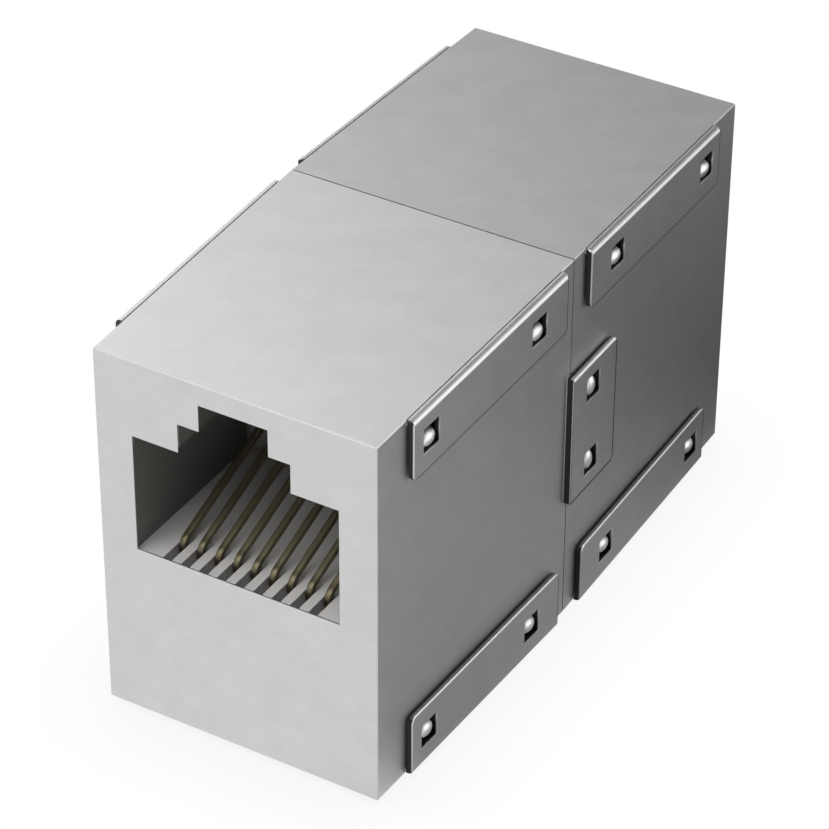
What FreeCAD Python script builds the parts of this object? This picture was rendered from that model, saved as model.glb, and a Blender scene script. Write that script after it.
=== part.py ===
import FreeCAD, Part
import math
import os

os.makedirs("parts", exist_ok=True)

V = FreeCAD.Vector

# An inline coupler for two modular network plugs. It is two equal halves, turned back to back about Z:
# each half is a folded sheet shield over a moulded jack with nine spring contacts, and one circuit
# board stands between the halves. Millimetres. The origin is under the middle seam, +Z is up, the
# latch notches face up, and the front socket opens towards -Y.
# Each half is worked out as the front one. "depth" is measured inwards from its end face.

# Body: each half widens a little from its end face to the seam
half_length = 18.50
end_width = 16.10
end_height = 21.62
seam_width = 16.70
seam_height = 22.34
seam_gap = 0.08
edge_bevel = 0.05

# Sheet
sheet = 0.30
flap_gap = 0.12
flap_proud = flap_gap + sheet
fold_radius = 0.30
flap_corner = 0.40
flap_bevel = 0.06
score_width = 0.07
score_depth = 0.16

# Side flaps, one above and one below on each side, folded over the side wall and snapped on to it
flap_from_seam = 1.20
flap_length = 14.70
upper_flap_height = 3.55
lower_flap_height = 3.65
window_size = 1.44
window_near_seam = 4.07
window_near_end = 14.30
upper_window_drop = 1.70
lower_window_rise = 1.87

# Snap domes pressed out of the side walls. Each fills most of its window, and an upper one stands low in it
dome_half_length = 0.65
dome_half_width = 0.46
dome_height = 0.44
upper_dome_drop = 0.23
tab_dome_drop = 0.06
dome_root = 0.03
dome_sides = 10
dome_rings = (0, 35, 70)

# Side tab: a step out of one half's side wall that laps over the other half
tab_step = 0.34
tab_reach = 4.45
tab_height = 7.90
tab_middle = 11.42
tab_edge_radius = 0.22
tab_window_reach = 1.84
tab_window_spacing = 4.70

# Socket opening in the end face, with the wide step and the latch notch above the plug body
socket_width = 11.85
socket_floor = 10.66
socket_top = 17.55
step_width = 6.45
step_top = 19.23
notch_width = 3.96
notch_top = 20.78
opening_land = 0.03
cavity_clearance = 0.12

# Jack housing
housing_clearance = 0.05
housing_depth = 15.20
floor_depth = 10.25
mouth_depth = 0.22
mouth_gap = 0.04
mouth_top = 17.00
pocket_half_width = 6.40
pocket_low = 6.50
pocket_high = 21.00
core_low = 1.90
core_high = 5.30
core_front = 3.00

# Contacts: springs of flat wire. Each lies under the cavity floor, turns round in a slot at the front
# and rises back into the socket
contact_count = 9
contact_pitch = 1.065
wire_width = 0.38
wire_thickness = 0.32
turn_radius = 0.60
turn_depth = 2.20
turn_height = 10.29
rise_angle = 19.5
tip_depth = 10.95
tail_end = half_length + 1.40
slot_width = 0.53
slot_end = 2.45
channel_high = 9.93

# Contact block: closes the back of the cavity, and its tongue backs the contacts under the floor
block_front = 10.60
block_width = 12.60
block_low = 6.50
block_high = 20.90
tongue_front = 3.00
tongue_width = 10.40
tongue_low = 8.20
guide_depth = 1.10
guide_low = 10.80
guide_high = 14.80
rear_tail_drop = 2.00
jog_radius = 0.40
jog_start = 11.60
leg_size = 1.60

# Circuit board
board_thickness = 1.60
board_width = 14.80
board_low = 1.20
board_high = 21.10
board_hole = 0.70
hole_sides = 6

# How far a cutting tool runs past the faces that it cuts
past = 1.00

end_low = (seam_height - end_height) / 2
lower_run = turn_height - turn_radius
slot_low = lower_run - wire_thickness / 2


def face_y(depth):
    return depth - half_length


def half_width(depth):
    return (end_width + (seam_width - end_width) * depth / half_length) / 2


def low_side(depth):
    return end_low * (1 - depth / half_length)


def high_side(depth):
    return seam_height - low_side(depth)


def flat_solid(front, back):
    """A solid between two outlines of as many points, with flat sides."""
    wires = [Part.makePolygon(points + [points[0]]) for points in (front, back)]
    return Part.makeLoft(wires, True, True)


def prism(corners, run):
    return Part.Face(Part.makePolygon(corners + [corners[0]])).extrude(run)


def box(x_low, x_high, depth_low, depth_high, z_low, z_high):
    corner = V(x_low, face_y(depth_low), z_low)
    return Part.makeBox(x_high - x_low, depth_high - depth_low, z_high - z_low, corner)


def drafted_block(front, back, side_inset, low_inset, high_inset):
    """The half's outer form between two depths, drawn in from its sides."""
    plan = []
    profile = []
    for depth, sign in ((front, -1), (front, 1), (back, 1), (back, -1)):
        y = face_y(depth)
        plan.append(V(sign * (half_width(depth) - side_inset), y, -past))
        z = low_side(depth) + low_inset if sign < 0 else high_side(depth) - high_inset
        profile.append(V(-seam_width, y, z))
    return prism(plan, V(0, 0, seam_height + 2 * past)).common(prism(profile, V(2 * seam_width, 0, 0)))


def socket_outline(depth, out):
    """The stepped opening, widened by out on every side."""
    y = face_y(depth)
    right = [(socket_width / 2 + out, socket_floor - out), (socket_width / 2 + out, socket_top + out),
             (step_width / 2 + out, socket_top + out), (step_width / 2 + out, step_top + out),
             (notch_width / 2 + out, step_top + out), (notch_width / 2 + out, notch_top + out)]
    left = [(-x, z) for x, z in reversed(right)]
    return [V(x, y, z) for x, z in right + left]


def opening_tool():
    """The opening through the sheet, bevelled at the back so that its front edge is thin."""
    land = flat_solid(socket_outline(-past, 0), socket_outline(opening_land, 0))
    bevel = flat_solid(socket_outline(opening_land, 0), socket_outline(opening_land + past, past))
    return land.fuse(bevel)


def corner_point(side, level, depth):
    """A point on the long edge where a side wall meets the top (level 1) or the bottom (level -1)."""
    z = high_side(depth) if level > 0 else low_side(depth)
    return V(side * half_width(depth), face_y(depth), z)


def edge_prism(side, level, points, near_end, near_seam):
    """Extrudes a section along a long edge. Points are outwards from the wall and inwards from the edge."""
    start = corner_point(side, level, near_end)
    run = corner_point(side, level, near_seam) - start
    edges = []
    for a, b in zip(points, points[1:] + points[:1]):
        p = start + V(side * a[0], 0, -level * a[1])
        q = start + V(side * b[0], 0, -level * b[1])
        if len(a) == 3:
            m = start + V(side * a[2][0], 0, -level * a[2][1])
            edges.append(Part.Arc(p, m, q).toShape())
        else:
            edges.append(Part.makeLine(p, q))
    return Part.Face(Part.Wire(edges)).extrude(run)


def near(value, target):
    return abs(value - target) < 1e-4


def edges_where(shape, test):
    """The edges whose start, middle and end points pass the test."""
    found = []
    for edge in shape.Edges:
        span = edge.LastParameter - edge.FirstParameter
        if test([edge.valueAt(edge.FirstParameter + span * part) for part in (0, 0.5, 1)]):
            found.append(edge)
    return found


def window(side, wall_x, depth, z):
    """Cuts a square window through a flap or a tab, and stops short of the wall behind it."""
    half = window_size / 2
    low, high = sorted((side * (wall_x + flap_gap / 2), side * (wall_x + flap_proud + past)))
    return box(low, high, depth - half, depth + half, z - half, z + half)


def side_flap(side, level, height, window_inset):
    """One flap: the top or bottom sheet runs on over the side wall, folds and hangs clear of it."""
    seam_end = half_length - flap_from_seam
    far_end = seam_end - flap_length
    bend = fold_radius * (1 - math.sqrt(0.5))
    section = [(-sheet, 0), (flap_proud - fold_radius, 0, (flap_proud - bend, bend)),
               (flap_proud, fold_radius), (flap_proud, height),
               (flap_gap, height), (flap_gap, sheet), (-sheet, sheet)]
    flap = edge_prism(side, level, section, far_end, seam_end)

    def from_edge(point):
        """How far a point is from the wall's long edge, down an upper flap or up a lower one."""
        return level * (corner_point(side, level, point.y + half_length).z - point.z)

    def at_free_corner(points):
        return near(points[0].y, points[2].y) and all(near(from_edge(p), height) for p in points)

    def on_free_rim(points):
        outside = all(near(side * p.x, half_width(p.y + half_length) + flap_proud) for p in points)
        return outside and from_edge(points[1]) > fold_radius + flap_bevel

    flap = flap.makeFillet(flap_corner, edges_where(flap, at_free_corner))
    flap = flap.makeChamfer(flap_bevel, edges_where(flap, on_free_rim))
    for from_seam in (window_near_seam, window_near_end):
        depth = half_length - from_seam
        edge = corner_point(side, level, depth)
        flap = flap.cut(window(side, half_width(depth), depth, edge.z - level * window_inset))
    return flap


def fold_score(side, level):
    """The score line in the sheet along a flap's fold."""
    half = score_width / 2
    section = [(-half, -past), (half, -past), (half, score_depth), (-half, score_depth)]
    seam_end = half_length - flap_from_seam
    return edge_prism(side, level, section, seam_end - flap_length, seam_end)


def snap_dome(side, depth, z, upright):
    """A dome pressed out of a side wall, longer one way than the other. It is rings of flat facets."""
    along_y, along_z = (dome_half_width, dome_half_length) if upright else (dome_half_length, dome_half_width)
    root = V(side * (half_width(depth) - dome_root), face_y(depth), z)
    rings = []
    for rise in dome_rings:
        out = side * dome_height * math.sin(math.radians(rise))
        scale = math.cos(math.radians(rise))
        turns = [2 * math.pi * k / dome_sides for k in range(dome_sides)]
        ring = [root + V(out, scale * along_y * math.cos(t), scale * along_z * math.sin(t)) for t in turns]
        rings.append(Part.makePolygon(ring + [ring[0]]))
    return Part.makeLoft(rings, True, True)


def snap_domes():
    """Two domes for each flap, and two on the left wall for the other half's tab."""
    domes = []
    for side in (-1, 1):
        for from_seam in (window_near_seam, window_near_end):
            depth = half_length - from_seam
            upper = high_side(depth) - upper_window_drop - upper_dome_drop
            lower = low_side(depth) + lower_window_rise
            domes.append(snap_dome(side, depth, upper, False))
            domes.append(snap_dome(side, depth, lower, False))
    for end in (-1, 1):
        z = tab_middle + end * tab_window_spacing / 2 - tab_dome_drop
        domes.append(snap_dome(-1, half_length - tab_window_reach, z, True))
    return domes


def side_tab():
    """The tab on the right wall. It steps out at the seam and lies along the other half's wall."""
    wall = seam_width / 2
    low = tab_middle - tab_height / 2
    high = tab_middle + tab_height / 2
    end_depth = half_length + tab_reach

    def other_wall(y):
        return half_width(half_length - y)

    def at_top_rim(points):
        return all(near(p.z, high) and near(p.x, other_wall(p.y) + flap_proud) for p in points)

    plan = [V(other_wall(y) + out, y, low) for y, out in
            ((-tab_step, flap_gap), (-tab_step, flap_proud), (tab_reach, flap_proud), (tab_reach, flap_gap))]
    tab = prism(plan, V(0, 0, tab_height))
    tab = tab.makeFillet(tab_edge_radius, edges_where(tab, at_top_rim))
    for end in (-1, 1):
        z = tab_middle + end * (tab_height / 2 - flap_corner)
        z_low, z_high = sorted((z, z + end * past))
        square = box(wall - past, wall + past, end_depth - flap_corner, end_depth + past, z_low, z_high)
        centre = V(wall - past, tab_reach - flap_corner, z)
        tab = tab.cut(square.cut(Part.makeCylinder(flap_corner, 2 * past, centre, V(1, 0, 0))))
    step_end = half_length - seam_gap / 2
    step = box(wall - sheet / 2, wall + flap_gap + sheet / 2, half_length - tab_step, step_end, low, high)
    tab = tab.fuse(step)
    for end in (-1, 1):
        z = tab_middle + end * tab_window_spacing / 2
        tab = tab.cut(window(1, other_wall(tab_window_reach), half_length + tab_window_reach, z))
    return tab


def shield():
    """One half's sheet shell: five walls, open at the seam, with its flaps, domes and tab."""
    outer = drafted_block(0, half_length - seam_gap / 2, 0, 0, 0)

    def off_the_seam(points):
        return not all(near(p.y, -seam_gap / 2) for p in points)

    outer = outer.makeChamfer(edge_bevel, edges_where(outer, off_the_seam))
    shell = outer.cut(drafted_block(sheet, half_length + past, sheet, sheet, sheet))
    shell = shell.cut(opening_tool())
    pieces = snap_domes() + [side_tab()]
    for side in (-1, 1):
        pieces.append(side_flap(side, 1, upper_flap_height, upper_window_drop))
        pieces.append(side_flap(side, -1, lower_flap_height, lower_window_rise))
    shell = shell.fuse(pieces)
    for side in (-1, 1):
        for level in (-1, 1):
            shell = shell.cut(fold_score(side, level))
    return shell.removeSplitter()


def contact_x(number):
    return (number - (contact_count + 1) / 2) * contact_pitch


def flat_wire(start, heading, moves):
    """Flat wire from a point, heading in degrees up from +Y. A move is (length, 0) or (radius, degrees)."""
    wide = V(wire_width / 2, 0, 0)
    pieces = []
    for size, degrees in moves:
        ahead = V(0, math.cos(math.radians(heading)), math.sin(math.radians(heading)))
        left = V(0, -ahead.z, ahead.y)
        thick = left * (wire_thickness / 2)
        corners = [start + wide + thick, start + wide - thick, start - wide - thick, start - wide + thick]
        section = Part.Face(Part.makePolygon(corners + [corners[0]]))
        if degrees:
            centre = start + left * math.copysign(size, degrees)
            pieces.append(section.revolve(centre, V(1, 0, 0), degrees))
            start = centre + FreeCAD.Rotation(V(1, 0, 0), degrees).multVec(start - centre)
            heading += degrees
        else:
            pieces.append(section.extrude(ahead * size))
            start = start + ahead * size
    return pieces[0].fuse(pieces[1:]).removeSplitter()


def contact(x, drop):
    """One contact spring, from its pin in the circuit board to its free tip. Its tail may lie lower."""
    rise = math.radians(rise_angle)
    top_depth = turn_depth - turn_radius * math.sin(rise)
    leg = (tip_depth - top_depth) / math.cos(rise)
    spring = [(turn_radius, rise_angle - 180), (leg, 0)]
    if drop:
        diagonal = drop * math.sqrt(2) - 2 * jog_radius * (math.sqrt(2) - 1)
        jog_length = (2 * jog_radius + diagonal) / math.sqrt(2)
        tail = [(tail_end - jog_start - jog_length, 0), (jog_radius, -45), (diagonal, 0), (jog_radius, 45),
                (jog_start - turn_depth, 0)]
    else:
        tail = [(tail_end - turn_depth, 0)]
    return flat_wire(V(x, face_y(tail_end), lower_run - drop), 180, tail + spring)


def housing():
    """The moulded jack body. Its cavity is open at the back, where the contact block closes it."""
    side = sheet + housing_clearance
    body = drafted_block(sheet, housing_depth, side, sheet, side)
    mouth = []
    for depth in (mouth_depth, sheet):
        out = depth - opening_land - mouth_gap
        x = socket_width / 2 + out
        y = face_y(depth)
        low = socket_floor - out
        mouth.append([V(-x, y, low), V(x, y, low), V(x, y, mouth_top), V(-x, y, mouth_top)])
    body = body.fuse(flat_solid(mouth[0], mouth[1]))
    wall = socket_width / 2 + cavity_clearance
    step = step_width / 2 + cavity_clearance
    floor = socket_floor - cavity_clearance
    back = housing_depth + past
    tools = [
        box(-wall, wall, 0, back, floor, socket_top + cavity_clearance),
        box(-step, step, 0, back, socket_top, notch_top + cavity_clearance),
        box(-pocket_half_width, pocket_half_width, floor_depth, back, pocket_low, pocket_high),
        box(-tongue_width / 2, tongue_width / 2, tongue_front, back, tongue_low, slot_low),
        box(-pocket_half_width, pocket_half_width, core_front, back, core_low, core_high),
    ]
    for number in range(1, contact_count + 1):
        low = contact_x(number) - slot_width / 2
        high = contact_x(number) + slot_width / 2
        tools.append(box(low, high, 0, slot_end, slot_low, floor + past))
        tools.append(box(low, high, slot_end, floor_depth + past, slot_low, channel_high))
    return body.cut(tools).removeSplitter()


def contact_block(drop):
    """The insert behind the cavity: the contacts' tails lie in its channels, and it stands on the board."""
    half = block_width / 2
    board_face = half_length - board_thickness / 2
    block = box(-half, half, block_front, housing_depth, block_low, block_high)
    tongue = tongue_width / 2
    pieces = [box(-tongue, tongue, tongue_front, block_front + past, tongue_low, slot_low)]
    for x in (-half, half - leg_size):
        for z in (block_low, block_high - leg_size):
            pieces.append(box(x, x + leg_size, housing_depth - past, board_face, z, z + leg_size))
    block = block.fuse(pieces)
    over = slot_low + wire_thickness
    guide_end = block_front + guide_depth
    guide = slot_width / 2
    tools = []
    for number in range(1, contact_count + 1):
        x = contact_x(number)
        low = x - wire_width / 2
        high = x + wire_width / 2
        tools.append(box(x - guide, x + guide, block_front - past, guide_end, guide_low, guide_high))
        if drop:
            jog_end = jog_start + drop + jog_radius
            tools.append(box(low, high, block_front - past, jog_start, slot_low, over))
            tools.append(box(low, high, jog_start, jog_end, slot_low - drop, over))
            tools.append(box(low, high, jog_end, housing_depth + past, slot_low - drop, over - drop))
        else:
            tools.append(box(low, high, block_front - past, housing_depth + past, slot_low, over))
    return block.cut(tools).removeSplitter()


def circuit_board():
    """The board between the halves. The rear row of pins is one step lower than the front row."""
    front = half_length - board_thickness / 2
    board = box(-board_width / 2, board_width / 2, front, front + board_thickness, board_low, board_high)
    holes = []
    turns = [2 * math.pi * k / hole_sides for k in range(hole_sides)]
    for number in range(1, contact_count + 1):
        for z in (lower_run, lower_run - rear_tail_drop):
            start = V(contact_x(number), -board_thickness, z)
            rim = [start + V(math.cos(t), 0, math.sin(t)) * (board_hole / 2) for t in turns]
            holes.append(prism(rim, V(0, 2 * board_thickness, 0)))
    return board.cut(holes)


def turned(shape):
    """The same piece in the rear half."""
    copy = shape.copy()
    copy.rotate(V(0, 0, 0), V(0, 0, 1), 180)
    return copy


def export(shape, node):
    if len(shape.Solids) != 1 or not shape.isValid():
        print("check", node, "solids", len(shape.Solids), "valid", shape.isValid())
    shape.Solids[0].exportStep("parts/%s.step" % node)


one_shield = shield()
one_housing = housing()
export(one_shield, "front_shield")
export(turned(one_shield), "rear_shield")
export(one_housing, "front_housing")
export(turned(one_housing), "rear_housing")
export(contact_block(0), "front_contact_block")
export(turned(contact_block(rear_tail_drop)), "rear_contact_block")
export(circuit_board(), "circuit_board")
for number in range(1, contact_count + 1):
    export(contact(contact_x(number), 0), "front_contact_%d" % number)
    export(turned(contact(contact_x(number), rear_tail_drop)), "rear_contact_%d" % number)
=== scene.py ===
import math

import bmesh
import bpy
from mathutils import Matrix, Quaternion, Vector


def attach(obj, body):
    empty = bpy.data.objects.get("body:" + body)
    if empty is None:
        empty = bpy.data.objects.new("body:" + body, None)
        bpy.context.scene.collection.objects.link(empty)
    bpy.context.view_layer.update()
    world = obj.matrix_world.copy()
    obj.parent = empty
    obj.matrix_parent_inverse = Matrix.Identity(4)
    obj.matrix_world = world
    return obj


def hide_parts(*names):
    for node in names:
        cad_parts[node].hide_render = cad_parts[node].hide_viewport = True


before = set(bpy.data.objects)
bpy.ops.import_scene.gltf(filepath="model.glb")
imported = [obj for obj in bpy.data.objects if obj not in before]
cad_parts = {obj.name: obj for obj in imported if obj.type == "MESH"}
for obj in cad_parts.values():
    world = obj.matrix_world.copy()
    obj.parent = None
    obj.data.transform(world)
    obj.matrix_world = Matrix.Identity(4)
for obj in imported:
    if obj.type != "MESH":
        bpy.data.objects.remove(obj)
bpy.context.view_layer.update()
scene = bpy.context.scene

# The two sheet shells are nickel-plated steel, sheared and folded. The satin plating is a little cloudy,
# and rolling leaves a faint grain along the coupler. The folds and the windows' lower and far edges carry
# a painted highlight. The bends, the sheared edges and the flaps' outlines carry painted shade, and the
# wall behind the windows of the flaps and tabs is painted near black as shade.
half_length = 0.0185
seam_half_width = 0.00835
end_half_width = 0.00805
seam_height = 0.02234
end_drop = 0.00036

# Flaps at the top and bottom of each side wall, and a tab across the seam
flap_proud = 0.00042
flap_from_seam = 0.0012
flap_far_end = 0.0159
upper_flap_height = 0.00355
lower_flap_height = 0.00365
tab_reach = 0.00445
tab_low = 0.00747
tab_high = 0.01537
corner_radius = 0.0004

# Square windows in the flaps and tabs
window_half = 0.00072
window_near_seam = 0.00407
window_near_end = 0.01430
upper_window_drop = 0.00170
lower_window_rise = 0.00187
tab_window_reach = 0.00184
tab_window_spacing = 0.00470

# Painted highlights and painted shade at the sheet's folds, bends and cut edges, each with its own grey
# over the plating's colour
painted_light_greys = {"BendShade": 0.38, "FoldSheen": 0.85, "EdgeShade": 0.05, "RimShadow": 0.12, "WindowHighlight": 0.95, "BehindShade": 0.012}
fold_zone = 0.0005
rim_line = 0.00012
highlight_line = 0.00005
edge_shade_line = 0.0002
flap_edge_light = 0.42
inset = 0.0003
wall_slack = 0.00002
edge_from_wall = 0.00003
edge_below_face = 0.00006
face_slack = 0.00009

# Least share of an axis in a face's normal, where the face slopes along it, faces it or is square to it
sloping = 0.3
facing_out = 0.6
facing_square = 0.7

# Clouds, grain and hair scratches of the plating
cloud_size = 0.0015
cloud_drift = 0.64
cloud_stretch = 1.5
cloud_detail = 6.0
cloud_roughness = 0.68
grain_length = 0.009
grain_width = 0.00012
scratch_stretch = (900, 60, 900)
scratch_turn = (0.5, 0.35, 0.9)
scratch_rarity = 0.74
scratch_depth = 0.5


def new_group(name, inputs, outputs):
    """A shader node group with float inputs by default value, colour inputs, and its outputs."""
    group = bpy.data.node_groups.new(name, "ShaderNodeTree")
    for label, default in inputs:
        kind = "NodeSocketColor" if isinstance(default, tuple) else "NodeSocketFloat"
        group.interface.new_socket(label, in_out="INPUT", socket_type=kind).default_value = default
    for label, kind in outputs:
        group.interface.new_socket(label, in_out="OUTPUT", socket_type=kind)
    return group, group.nodes.new("NodeGroupInput"), group.nodes.new("NodeGroupOutput")


def sums(tree):
    """A function that adds Math nodes to a tree. Its operands are sockets or plain numbers."""
    def calculate(operation, *operands):
        node = tree.nodes.new("ShaderNodeMath")
        node.operation = operation
        for socket, operand in zip(node.inputs, operands):
            if isinstance(operand, (int, float)):
                socket.default_value = operand
            else:
                tree.links.new(operand, socket)
        return node.outputs[0]
    return calculate


def mixed(tree, factor, first, second):
    """A colour mix of two colours or colour sockets."""
    node = tree.nodes.new("ShaderNodeMix")
    node.data_type = "RGBA"
    tree.links.new(factor, node.inputs["Factor"])
    for label, colour in (("A", first), ("B", second)):
        if isinstance(colour, tuple):
            node.inputs[label].default_value = colour
        else:
            tree.links.new(colour, node.inputs[label])
    return node.outputs["Result"]


def apart(tree, vector):
    """The X, Y and Z sockets of a vector socket."""
    node = tree.nodes.new("ShaderNodeSeparateXYZ")
    tree.links.new(vector, node.inputs[0])
    return node.outputs


def place_on_object(tree):
    """The Object coordinates, as a vector socket."""
    return tree.nodes.new("ShaderNodeTexCoord").outputs["Object"]


def way_faced(tree):
    """The way that each face points, as a vector socket."""
    return tree.nodes.new("ShaderNodeNewGeometry").outputs["True Normal"]


def noise(tree, place, scale, detail, stretch=None, turn=None):
    """A noise pattern on a place, drawn out by a Mapping node where that is asked for."""
    if stretch:
        mapping = tree.nodes.new("ShaderNodeMapping")
        mapping.inputs["Scale"].default_value = stretch
        if turn:
            mapping.inputs["Rotation"].default_value = turn
        tree.links.new(place, mapping.inputs["Vector"])
        place = mapping.outputs["Vector"]
    pattern = tree.nodes.new("ShaderNodeTexNoise")
    pattern.inputs["Detail"].default_value = detail
    tree.links.new(place, pattern.inputs["Vector"])
    if isinstance(scale, (int, float)):
        pattern.inputs["Scale"].default_value = scale
    else:
        tree.links.new(scale, pattern.inputs["Scale"])
    return pattern.outputs["Fac"]


def add_relief(tree, height, strength, depth):
    """Bumps a material's surface by a height socket."""
    relief = tree.nodes.new("ShaderNodeBump")
    relief.inputs["Strength"].default_value = strength
    relief.inputs["Distance"].default_value = depth
    tree.links.new(height, relief.inputs["Height"])
    tree.links.new(relief.outputs["Normal"], tree.nodes["Principled BSDF"].inputs["Normal"])


def satin_plate_group():
    """Clouds, rolling grain and hair scratches of plated metal, as a colour, a roughness and a height."""
    grey = (0.6, 0.6, 0.6, 1.0)
    group, given, result = new_group(
        "satin_plate",
        (("Cloud Size", cloud_size), ("Cloud Strength", 0.5), ("Grain Strength", 0.3), ("Light Colour", grey),
         ("Dark Colour", grey), ("Smooth", 0.4), ("Rough", 0.5)),
        (("Color", "NodeSocketColor"), ("Roughness", "NodeSocketFloat"), ("Height", "NodeSocketFloat")))
    calculate = sums(group)
    place = place_on_object(group)
    drift = group.nodes.new("ShaderNodeMapping")
    drift.vector_type = "TEXTURE"
    drift.inputs["Rotation"].default_value = (0, 0, cloud_drift)
    drift.inputs["Scale"].default_value = (cloud_stretch, 1, 1)
    group.links.new(place, drift.inputs["Vector"])
    cloud_scale = calculate("DIVIDE", 1.0, given.outputs["Cloud Size"])
    clouds = noise(group, drift.outputs["Vector"], cloud_scale, cloud_detail)
    clouds.node.inputs["Roughness"].default_value = cloud_roughness
    grain = noise(group, place, 1.0, 2.0, (1 / grain_width, 1 / grain_length, 1 / grain_width))
    scratches = noise(group, place, 1.0, 1.0, scratch_stretch, scratch_turn)
    scratch_lines = calculate("MULTIPLY", calculate("GREATER_THAN", scratches, scratch_rarity), scratch_depth)
    cloud_part = calculate("MULTIPLY", calculate("SUBTRACT", clouds, 0.5), given.outputs["Cloud Strength"])
    grain_part = calculate("MULTIPLY", calculate("SUBTRACT", grain, 0.5), given.outputs["Grain Strength"])
    shade = calculate("ADD", calculate("ADD", cloud_part, grain_part), 0.5)
    colour = mixed(group, shade, given.outputs["Dark Colour"], given.outputs["Light Colour"])
    group.links.new(colour, result.inputs["Color"])
    reach = calculate("SUBTRACT", given.outputs["Rough"], given.outputs["Smooth"])
    roughness = calculate("ADD", given.outputs["Smooth"], calculate("MULTIPLY", reach, clouds))
    group.links.new(roughness, result.inputs["Roughness"])
    group.links.new(calculate("ADD", grain_part, scratch_lines), result.inputs["Height"])
    return group


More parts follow.
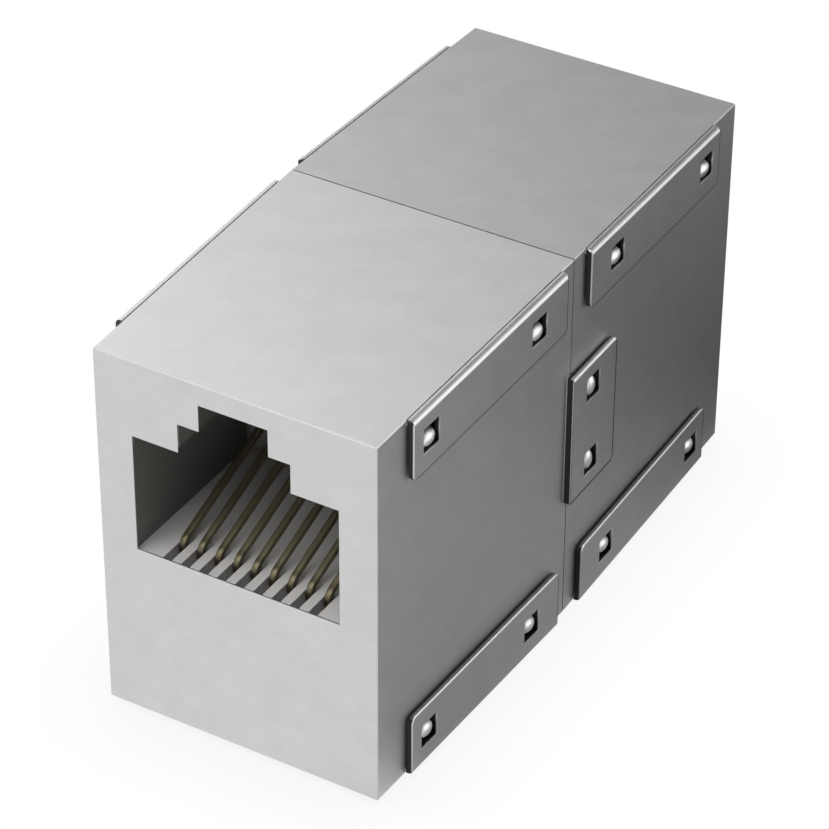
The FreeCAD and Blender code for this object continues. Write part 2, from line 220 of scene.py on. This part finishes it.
def painted_edge_light_group():
    """Masks for the painted highlight and shade on the sheet's bends, folds, sheared edges, rims and burrs,
    and for the painted shade on the wall behind a window.

    They follow the shells' own sizes, and are the same on both halves and both sides.
    """
    group, _, result = new_group("painted_edge_light", (), [(label, "NodeSocketFloat") for label in painted_light_greys])
    calculate = sums(group)
    place = apart(group, place_on_object(group))
    facing = apart(group, way_faced(group))
    across = calculate("ABSOLUTE", place["X"])
    along = calculate("ABSOLUTE", place["Y"])
    height = place["Z"]
    side = calculate("SIGN", place["X"])
    half = calculate("SIGN", place["Y"])

    def both(*tests):
        product = tests[0]
        for test in tests[1:]:
            product = calculate("MULTIPLY", product, test)
        return product

    def within(value, low, high):
        return both(calculate("GREATER_THAN", value, low), calculate("LESS_THAN", value, high))

    def chosen(test, first, second):
        """The first value where the test is 1, and the second where it is 0."""
        return calculate("ADD", both(calculate("SUBTRACT", first, second), test), second)

    def faces(axis, least):
        return calculate("GREATER_THAN", calculate("ABSOLUTE", facing[axis]), least)

    # A bend runs along an end face and gets painted shade, and a fold runs along a side wall and gets a
    # painted highlight
    slopes_up = calculate("GREATER_THAN", facing["Z"], sloping)
    group.links.new(both(slopes_up, faces("Y", sloping)), result.inputs["BendShade"])
    group.links.new(both(slopes_up, faces("X", sloping)), result.inputs["FoldSheen"])

    # The cut edges round each flap and tab carry painted shade. The outer half of the tab's top edge and of
    # the lower flaps' upper edges is painted less dark, as where light falls on them
    taper = (seam_half_width - end_half_width) / half_length
    off_wall = calculate("ADD", calculate("SUBTRACT", across, seam_half_width), both(along, taper))
    raised = within(off_wall, edge_from_wall, flap_proud - edge_below_face)
    clear_of_folds = within(height, fold_zone, seam_height - fold_zone)
    outer_half = calculate("GREATER_THAN", off_wall, edge_shade_line)
    tab_edge = within(height, tab_high - inset, tab_high + inset)
    flap_edge = within(height, lower_flap_height - inset, lower_flap_height + end_drop + inset)
    light = both(outer_half, calculate("ADD", tab_edge, both(flap_edge, flap_edge_light)))
    flat_edge = both(faces("Z", facing_square), calculate("SUBTRACT", clear_of_folds, light))
    cut_edge = calculate("MAXIMUM", faces("Y", facing_square), flat_edge)
    group.links.new(both(raised, cut_edge), result.inputs["EdgeShade"])

    # Distances from the outline of the flap or tab, which is the same on both sides, turned about Z
    forward = both(place["Y"], side)
    drop = both(along, end_drop / half_length)
    upper = calculate("GREATER_THAN", height, seam_height / 2)
    from_top = calculate("SUBTRACT", calculate("SUBTRACT", seam_height, drop), height)
    from_bottom = calculate("SUBTRACT", height, drop)
    beyond_seam = calculate("GREATER_THAN", forward, -inset)
    on_tab = both(within(height, tab_low - inset, tab_high + inset), beyond_seam)
    past_free_edge = chosen(upper, calculate("SUBTRACT", from_top, upper_flap_height),
                            calculate("SUBTRACT", from_bottom, lower_flap_height))
    far_end = chosen(calculate("GREATER_THAN", forward, 0.0), flap_far_end, -flap_from_seam)
    past_low = chosen(on_tab, calculate("SUBTRACT", tab_low, height), chosen(upper, past_free_edge, -1.0))
    past_far = calculate("SUBTRACT", forward, chosen(on_tab, tab_reach, far_end))

    corner_low = calculate("ADD", past_low, corner_radius)
    corner_far = calculate("ADD", past_far, corner_radius)
    outside = [calculate("POWER", calculate("MAXIMUM", past, 0.0), 2.0) for past in (corner_low, corner_far)]
    reach = calculate("SQRT", calculate("ADD", *outside))
    inside = calculate("MINIMUM", calculate("MAXIMUM", corner_low, corner_far), 0.0)
    past_outline = calculate("SUBTRACT", calculate("ADD", reach, inside), corner_radius)
    # A thin line along the outline on each flap's and tab's face is painted dark as shadow
    at_face = calculate("GREATER_THAN", off_wall, flap_proud - face_slack)
    on_face = both(at_face, faces("X", facing_out))
    group.links.new(both(on_face, calculate("GREATER_THAN", past_outline, -rim_line)), result.inputs["RimShadow"])

    # The windows' cut edges carry a painted highlight along their lower and far sides
    near_seam = calculate("LESS_THAN", along, (window_near_seam + window_near_end) / 2)
    flap_along = calculate("SUBTRACT", along, chosen(near_seam, window_near_seam, window_near_end))
    flap_along = both(flap_along, half)
    flap_up = chosen(upper, calculate("SUBTRACT", upper_window_drop, from_top),
                     calculate("SUBTRACT", from_bottom, lower_window_rise))
    tab_along = calculate("SUBTRACT", place["Y"], both(side, tab_window_reach))
    tab_up = calculate("SUBTRACT", height, (tab_low + tab_high) / 2)
    tab_up = calculate("SUBTRACT", tab_up, both(calculate("SIGN", tab_up), tab_window_spacing / 2))
    window_along = chosen(on_tab, tab_along, flap_along)
    window_up = chosen(on_tab, tab_up, flap_up)
    from_middle = calculate("MAXIMUM", calculate("ABSOLUTE", window_along), calculate("ABSOLUTE", window_up))
    past_window = calculate("SUBTRACT", from_middle, window_half)
    low_or_far = calculate("GREATER_THAN", window_along, window_up)
    at_window = within(past_window, -highlight_line, highlight_line)
    group.links.new(both(on_face, low_or_far, at_window), result.inputs["WindowHighlight"])

    # The wall behind the flaps, tabs and windows is painted near black as shade
    at_wall = calculate("LESS_THAN", calculate("ABSOLUTE", off_wall), wall_slack)
    behind_flap = both(within(along, flap_from_seam + inset, flap_far_end - inset),
                       calculate("LESS_THAN", past_free_edge, -inset))
    behind_tab = both(within(forward, inset, tab_reach - inset),
                      within(height, tab_low + inset, tab_high - inset))
    behind = calculate("MAXIMUM", behind_flap, behind_tab)
    group.links.new(both(at_wall, faces("X", facing_out), behind), result.inputs["BehindShade"])
    return group


satin_plate = satin_plate_group()


def plated_metal(name, light, dark, smooth, rough, cloud, grain):
    """A metal with the satin plate group in it."""
    material = bpy.data.materials.new(name)
    material.use_nodes = True
    tree = material.node_tree
    shader = tree.nodes["Principled BSDF"]
    shader.inputs["Metallic"].default_value = 1.0
    plate = tree.nodes.new("ShaderNodeGroup")
    plate.name = "plate"
    plate.node_tree = satin_plate
    plate.inputs["Cloud Strength"].default_value = cloud
    plate.inputs["Grain Strength"].default_value = grain
    plate.inputs["Light Colour"].default_value = (*light, 1)
    plate.inputs["Dark Colour"].default_value = (*dark, 1)
    plate.inputs["Smooth"].default_value = smooth
    plate.inputs["Rough"].default_value = rough
    tree.links.new(plate.outputs["Color"], shader.inputs["Base Color"])
    tree.links.new(plate.outputs["Roughness"], shader.inputs["Roughness"])
    add_relief(tree, plate.outputs["Height"], strength=0.1, depth=0.00001)
    return material


def dress(node_name, material):
    """Gives a CAD node its finished material."""
    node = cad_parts[node_name]
    node.data.materials.clear()
    node.data.materials.append(material)


satin_nickel = plated_metal("satin_nickel", (0.645, 0.645, 0.645), (0.595, 0.595, 0.595),
                            smooth=0.45, rough=0.50, cloud=2.4, grain=0.5)
sheet_tree = satin_nickel.node_tree
painted_light_masks = sheet_tree.nodes.new("ShaderNodeGroup")
painted_light_masks.node_tree = painted_edge_light_group()
sheet_colour = sheet_tree.nodes["plate"].outputs["Color"]
for mark, grey in painted_light_greys.items():
    sheet_colour = mixed(sheet_tree, painted_light_masks.outputs[mark], sheet_colour, (grey, grey, grey, 1))
sheet_tree.links.new(sheet_colour, sheet_tree.nodes["Principled BSDF"].inputs["Base Color"])
for half in ("front", "rear"):
    dress(half + "_shield", satin_nickel)

# The snap domes are pressed out of the side walls with a round punch. They stand in the flaps' and the
# tabs' windows, and are painted brighter than the sheet as a painted highlight.
dome_half_length = 0.00067
dome_half_width = 0.00048
dome_height = 0.00045
dome_root = 0.0080
dome_segments = 28
dome_rings = 16
upper_dome_drop = 0.00193
lower_dome_rise = 0.00187
tab_dome_reach = 0.00184
tab_dome_heights = (0.00901, 0.01371)
dome_sheen_nickel = plated_metal("dome_sheen_nickel", (0.95, 0.95, 0.95), (0.88, 0.88, 0.88),
                           smooth=0.42, rough=0.50, cloud=0.8, grain=0.5)


def wall_at(from_seam):
    """Half the body's width at a distance from the seam, and how far its top and bottom are drawn in."""
    part = from_seam / half_length
    return seam_half_width - (seam_half_width - end_half_width) * part, end_drop * part


def add_dome(mesh, side, along, height, upright):
    """An oblong ball on a side wall, cut off inside the sheet."""
    along_y, along_z = (dome_half_width, dome_half_length) if upright else (dome_half_length, dome_half_width)
    place = Matrix.Translation((side * wall_at(abs(along))[0], along, height))
    stretch = Matrix.Diagonal((dome_height, along_y, along_z, 1))
    ball = bmesh.ops.create_uvsphere(mesh, u_segments=dome_segments, v_segments=dome_rings, radius=1.0,
                                     matrix=place @ stretch)["verts"]
    edges = {edge for vertex in ball for edge in vertex.link_edges}
    faces = {face for vertex in ball for face in vertex.link_faces}
    bmesh.ops.bisect_plane(mesh, geom=[*ball, *edges, *faces], plane_co=(side * dome_root, 0, 0),
                           plane_no=(side, 0, 0), clear_inner=True)


def in_one_order(mesh):
    """A mesh's points and faces in an order that each run repeats, as the sphere tool's own doesn't."""
    points = sorted(mesh.verts, key=lambda vertex: vertex.co[:])
    number = {vertex: index for index, vertex in enumerate(points)}
    faces = []
    for face in mesh.faces:
        corners = [number[vertex] for vertex in face.verts]
        # Of all faces, only the caps start at another corner on each run
        if len(corners) > 4:
            first = corners.index(min(corners))
            corners = corners[first:] + corners[:first]
        faces.append(corners)
    return [vertex.co[:] for vertex in points], sorted(faces)


for half, turn in (("front", -1), ("rear", 1)):
    dome_mesh = bmesh.new()
    for side in (-1, 1):
        for from_seam in (window_near_seam, window_near_end):
            drawn_in = wall_at(from_seam)[1]
            top = seam_height - drawn_in - upper_dome_drop
            add_dome(dome_mesh, side, turn * from_seam, top, upright=False)
            add_dome(dome_mesh, side, turn * from_seam, drawn_in + lower_dome_rise, upright=False)
    for height in tab_dome_heights:
        add_dome(dome_mesh, turn, turn * tab_dome_reach, height, upright=True)
    bmesh.ops.holes_fill(dome_mesh, edges=[edge for edge in dome_mesh.edges if edge.is_boundary], sides=0)
    bmesh.ops.recalc_face_normals(dome_mesh, faces=dome_mesh.faces)
    dome_points, dome_faces = in_one_order(dome_mesh)
    dome_mesh.free()
    domes_data = bpy.data.meshes.new(half + "_snap_domes")
    domes_data.from_pydata(dome_points, [], dome_faces)
    # The many-sided cap that closes the cut stays flat
    for face in domes_data.polygons:
        face.use_smooth = len(face.vertices) < 5
    domes_data.materials.append(dome_sheen_nickel)
    domes = bpy.data.objects.new(half + "_snap_domes", domes_data)
    scene.collection.objects.link(domes)
    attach(domes, "root")

# The jack bodies and the contact blocks are moulded in grey thermoplastic with a fine spark finish. Each
# slides into its shell from the seam, and its mouth stands in the shell's opening. The cavity's side
# walls are painted darker than its floor and slots, as shade.
spark_size = 0.00016
flow_size = 0.006
flow_share = 0.75
slots_reach = 0.0057
slots_top = 0.0108
side_wall_shade_grey = (0.14, 0.133, 0.124, 1)


def moulded_finish_group():
    """Flow shades and spark-eroded pits of moulded plastic, as a colour, a roughness and a height."""
    grey = (0.3, 0.3, 0.3, 1.0)
    group, given, result = new_group(
        "moulded_finish",
        (("Light Colour", grey), ("Dark Colour", grey), ("Smooth", 0.45), ("Rough", 0.6)),
        (("Color", "NodeSocketColor"), ("Roughness", "NodeSocketFloat"), ("Height", "NodeSocketFloat")))
    calculate = sums(group)
    place = place_on_object(group)
    flow = noise(group, place, 1 / flow_size, 3.0)
    spark = noise(group, place, 1 / spark_size, 3.0)
    flow_part = calculate("MULTIPLY", flow, flow_share)
    shade = calculate("ADD", flow_part, calculate("MULTIPLY", spark, 1 - flow_share))
    colour = mixed(group, shade, given.outputs["Dark Colour"], given.outputs["Light Colour"])
    group.links.new(colour, result.inputs["Color"])
    reach = calculate("SUBTRACT", given.outputs["Rough"], given.outputs["Smooth"])
    roughness = calculate("ADD", given.outputs["Smooth"], calculate("MULTIPLY", reach, spark))
    group.links.new(roughness, result.inputs["Roughness"])
    group.links.new(spark, result.inputs["Height"])
    return group


moulded_finish = moulded_finish_group()


def plastic(name, light, dark, smooth, rough):
    """A moulded plastic with the finish group in it."""
    material = bpy.data.materials.new(name)
    material.use_nodes = True
    tree = material.node_tree
    shader = tree.nodes["Principled BSDF"]
    finish = tree.nodes.new("ShaderNodeGroup")
    finish.name = "finish"
    finish.node_tree = moulded_finish
    finish.inputs["Light Colour"].default_value = (*light, 1)
    finish.inputs["Dark Colour"].default_value = (*dark, 1)
    finish.inputs["Smooth"].default_value = smooth
    finish.inputs["Rough"].default_value = rough
    tree.links.new(finish.outputs["Color"], shader.inputs["Base Color"])
    tree.links.new(finish.outputs["Roughness"], shader.inputs["Roughness"])
    add_relief(tree, finish.outputs["Height"], strength=0.3, depth=0.00001)
    return material


housing_grey = plastic("housing_grey", (0.50, 0.49, 0.48), (0.43, 0.42, 0.41), smooth=0.45, rough=0.6)
housing_tree = housing_grey.node_tree
housing_sums = sums(housing_tree)
housing_place = apart(housing_tree, place_on_object(housing_tree))
housing_facing = apart(housing_tree, way_faced(housing_tree))
# The cavity's side walls are painted darker as shade
sideways = housing_sums("GREATER_THAN", housing_sums("ABSOLUTE", housing_facing["X"]), facing_square)
off_the_slots = housing_sums("GREATER_THAN", housing_sums("ABSOLUTE", housing_place["X"]), slots_reach)
above_slots = housing_sums("GREATER_THAN", housing_place["Z"], slots_top)
shaded_side_wall = housing_sums("MULTIPLY", sideways, housing_sums("MAXIMUM", off_the_slots, above_slots))
housing_colour = housing_tree.nodes["finish"].outputs["Color"]
housing_tree.links.new(mixed(housing_tree, shaded_side_wall, housing_colour, side_wall_shade_grey),
                       housing_tree.nodes["Principled BSDF"].inputs["Base Color"])
block_grey = plastic("block_grey", (0.60, 0.58, 0.555), (0.51, 0.495, 0.475), smooth=0.5, rough=0.65)
for half in ("front", "rear"):
    dress(half + "_housing", housing_grey)
    dress(half + "_contact_block", block_grey)

# The contacts are drawn from flat phosphor bronze wire with rolled corners and a thin gold plate, and
# bent round the front of the housing's slots. The plate is dull and a little olive, and its colour is
# also darkened below gold as painted shade, most of all in the bend.
wire_corner = 0.00008
merge_distance = 0.000001
flat_turn = math.radians(1)
corner_turn = math.radians(40)
smooth_turn = math.radians(38)
bend_back, bend_front = 0.0160, 0.0167
bend_shade_gold = (0.125, 0.11, 0.07, 1)


def soft_step(tree, value, low, high):
    """Rises smoothly from 0 to 1 as the value goes from low to high."""
    step = tree.nodes.new("ShaderNodeMapRange")
    step.interpolation_type = "SMOOTHSTEP"
    step.inputs["From Min"].default_value = low
    step.inputs["From Max"].default_value = high
    tree.links.new(value, step.inputs["Value"])
    return step.outputs["Result"]


gold = plated_metal("gold_plate", (0.30, 0.27, 0.176), (0.205, 0.184, 0.118),
                    smooth=0.38, rough=0.5, cloud=1.0, grain=0.6)
gold_tree = gold.node_tree
# The bend is painted darker as shade
wire_along = sums(gold_tree)("ABSOLUTE", apart(gold_tree, place_on_object(gold_tree))["Y"])
in_shaded_bend = soft_step(gold_tree, wire_along, bend_back, bend_front)
gold_tree.links.new(mixed(gold_tree, in_shaded_bend, gold_tree.nodes["plate"].outputs["Color"], bend_shade_gold),
                    gold_tree.nodes["Principled BSDF"].inputs["Base Color"])
for node_name, node in list(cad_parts.items()):
    if "_contact_" not in node_name or "block" in node_name:
        continue
    wire = bmesh.new()
    wire.from_mesh(node.data)
    bmesh.ops.remove_doubles(wire, verts=wire.verts, dist=merge_distance)
    bmesh.ops.dissolve_limit(wire, angle_limit=flat_turn, verts=wire.verts, edges=wire.edges)
    closed_edges = [edge for edge in wire.edges if len(edge.link_faces) == 2]
    corners = [edge for edge in closed_edges if edge.calc_face_angle() > corner_turn]
    bmesh.ops.bevel(wire, geom=corners, offset=wire_corner, offset_type="OFFSET", affect="EDGES", segments=3,
                    profile=0.5, material=-1, clamp_overlap=True)
    for face in wire.faces:
        face.smooth = True
    wire_data = bpy.data.meshes.new(node_name + "_wire")
    wire.to_mesh(wire_data)
    wire.free()
    wire_data.set_sharp_from_angle(angle=smooth_turn)
    wire_data.materials.append(gold)
    contact = bpy.data.objects.new(node_name + "_wire", wire_data)
    scene.collection.objects.link(contact)
    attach(contact, "root")
    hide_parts(node_name)

# The circuit board inside is glass laminate under green solder mask, with the weave just showing. It
# stands across the seam between the two contact blocks.
weave_pitch = 0.0004
board_green = bpy.data.materials.new("board_green")
board_green.use_nodes = True
board_tree = board_green.node_tree
board_shader = board_tree.nodes["Principled BSDF"]
board_sums = sums(board_tree)
board_place = apart(board_tree, place_on_object(board_tree))
threads = [board_sums("SINE", board_sums("MULTIPLY", board_place[axis], 2 * math.pi / weave_pitch))
           for axis in ("X", "Z")]
weave = board_sums("ADD", board_sums("MULTIPLY", board_sums("MULTIPLY", *threads), 0.5), 0.5)
board_colour = mixed(board_tree, weave, (0.010, 0.095, 0.035, 1), (0.016, 0.13, 0.05, 1))
board_roughness = board_sums("ADD", board_sums("MULTIPLY", weave, 0.08), 0.3)
board_tree.links.new(board_colour, board_shader.inputs["Base Color"])
board_tree.links.new(board_roughness, board_shader.inputs["Roughness"])
add_relief(board_tree, weave, strength=0.2, depth=0.00002)
dress("circuit_board", board_green)

# The floor is a plain pale studio sheet, white to the camera, with the coupler's soft contact shadow. Only
# reflections show a grey patch on it at the back right, fading to black further back, painted as shade.
floor_size = 1.2
floor_gap = 0.00005
card_left, card_front = 0.006, -0.017
card_right, card_back = 0.075, 0.10
card_edge = 0.004
fade_start, fade_end = 0.004, 0.028
pale_glow = 1.0
card_near_glow = 0.25
card_far_glow = 0.0
shadow_reach = 0.006
shadow_shade = 0.87
bpy.ops.mesh.primitive_plane_add(size=floor_size, location=(0, 0, -floor_gap))
floor = bpy.context.object
floor.name = "floor"
floor_paper = bpy.data.materials.new("floor_paper")
floor_paper.use_nodes = True
floor_tree = floor_paper.node_tree
floor_sums = sums(floor_tree)
floor_shader = floor_tree.nodes["Principled BSDF"]
floor_shader.inputs["Base Color"].default_value = (0.8, 0.8, 0.8, 1)
floor_shader.inputs["Roughness"].default_value = 0.9


def glow(strength):
    """An emission whose strength is a socket."""
    light = floor_tree.nodes.new("ShaderNodeEmission")
    floor_tree.links.new(strength, light.inputs["Strength"])
    return light.outputs["Emission"]


def seen_by(ray, first, second):
    """The second shader for one kind of ray, and the first for all others."""
    mix = floor_tree.nodes.new("ShaderNodeMixShader")
    floor_tree.links.new(ray, mix.inputs["Fac"])
    floor_tree.links.new(first, mix.inputs[1])
    floor_tree.links.new(second, mix.inputs[2])
    return mix.outputs["Shader"]


floor_place = apart(floor_tree, place_on_object(floor_tree))
# A patch seen only in reflections, painted as shade at the back right
shade_card = 1.0
for axis, middle, inwards in (("X", card_left, card_edge), ("X", card_right, -card_edge),
                              ("Y", card_front, card_edge), ("Y", card_back, -card_edge)):
    card_side = soft_step(floor_tree, floor_place[axis], middle - inwards, middle + inwards)
    shade_card = floor_sums("MULTIPLY", shade_card, card_side)
fade = soft_step(floor_tree, floor_place["Y"], fade_start, fade_end)
card_glow = floor_sums("MULTIPLY_ADD", fade, card_far_glow - card_near_glow, card_near_glow)
card_part = floor_sums("MULTIPLY", shade_card, floor_sums("SUBTRACT", card_glow, pale_glow))
reflected = floor_sums("ADD", card_part, pale_glow)
contact_shade = floor_tree.nodes.new("ShaderNodeAmbientOcclusion")
contact_shade.samples = 8
contact_shade.inputs["Distance"].default_value = shadow_reach
white = floor_sums("MULTIPLY_ADD", contact_shade.outputs["AO"], 1 - shadow_shade, shadow_shade)
rays = floor_tree.nodes.new("ShaderNodeLightPath")
paper = seen_by(rays.outputs["Is Glossy Ray"], floor_shader.outputs["BSDF"], glow(reflected))
straight = floor_sums("MAXIMUM", rays.outputs["Is Camera Ray"], rays.outputs["Is Transmission Ray"])
floor_surface = floor_tree.nodes["Material Output"].inputs["Surface"]
floor_tree.links.new(seen_by(straight, paper, glow(white)), floor_surface)
floor.data.materials.append(floor_paper)

# The studio: a pale backdrop all round, which the metal shows up to where the dim ceiling begins, and
# soft boxes around the coupler.
ambient_strength = 0.22
backdrop_low, backdrop_high = 0.04, 0.24
world = bpy.data.worlds.new("studio")
world.use_nodes = True
scene.world = world
sky_tree = world.node_tree
sky_sums = sums(sky_tree)
sky_rays = sky_tree.nodes.new("ShaderNodeLightPath")
sky_glossy = sky_rays.outputs["Is Glossy Ray"]
sky_straight = sky_sums("MAXIMUM", sky_rays.outputs["Is Camera Ray"], sky_rays.outputs["Is Transmission Ray"])
sky_way = apart(sky_tree, sky_tree.nodes.new("ShaderNodeNewGeometry").outputs["Position"])
backdrop = soft_step(sky_tree, sky_way["Z"], backdrop_high, backdrop_low)
in_metal = sky_sums("MULTIPLY", sky_glossy, backdrop)
elsewhere = sky_sums("SUBTRACT", ambient_strength, sky_sums("MULTIPLY", sky_glossy, ambient_strength))
sky_strength = sky_sums("MAXIMUM", sky_straight, sky_sums("ADD", in_metal, elsewhere))
sky_tree.nodes["Background"].inputs["Color"].default_value = (1, 1, 1, 1)
sky_tree.links.new(sky_strength, sky_tree.nodes["Background"].inputs["Strength"])


def soft_lamp(name, place, size, watts):
    """A square soft box that faces the middle of the coupler."""
    lamp = bpy.data.lights.new(name, "AREA")
    lamp.size = size
    lamp.energy = watts
    stand = bpy.data.objects.new(name, lamp)
    stand.location = place
    towards = Vector((0, 0, seam_height / 2)) - Vector(place)
    stand.rotation_euler = towards.to_track_quat("-Z", "Y").to_euler()
    scene.collection.objects.link(stand)


soft_lamp("front_left_lamp", (-0.20, -0.26, 0.16), size=0.34, watts=0.40)
soft_lamp("left_panel", (-0.276, 0.108, 0.3495), size=0.475, watts=1.26)
soft_lamp("steep_front_lamp", (-0.03, -0.165, 0.298), size=0.28, watts=0.85)
soft_lamp("right_lamp", (0.24, 0.09, 0.11), size=0.26, watts=0.31)

# The camera stands where the photograph's did, in front, to the right and above.
eye = Vector((0.08102, -0.13857, 0.12265))
forward = Vector((-0.416263, 0.704378, -0.574958))
roll = math.radians(0.32)
sensor_width = 36.0
focal_length = 161.46
lens = bpy.data.cameras.new("camera")
lens.sensor_width = sensor_width
lens.lens = focal_length
lens.clip_start = 0.01
lens.clip_end = 5.0
camera = bpy.data.objects.new("camera", lens)
turn = forward.to_track_quat("-Z", "Y") @ Quaternion((0, 0, 1), roll)
camera.matrix_world = Matrix.Translation(eye) @ turn.to_matrix().to_4x4()
scene.collection.objects.link(camera)
scene.camera = camera
scene.view_settings.view_transform = "Standard"
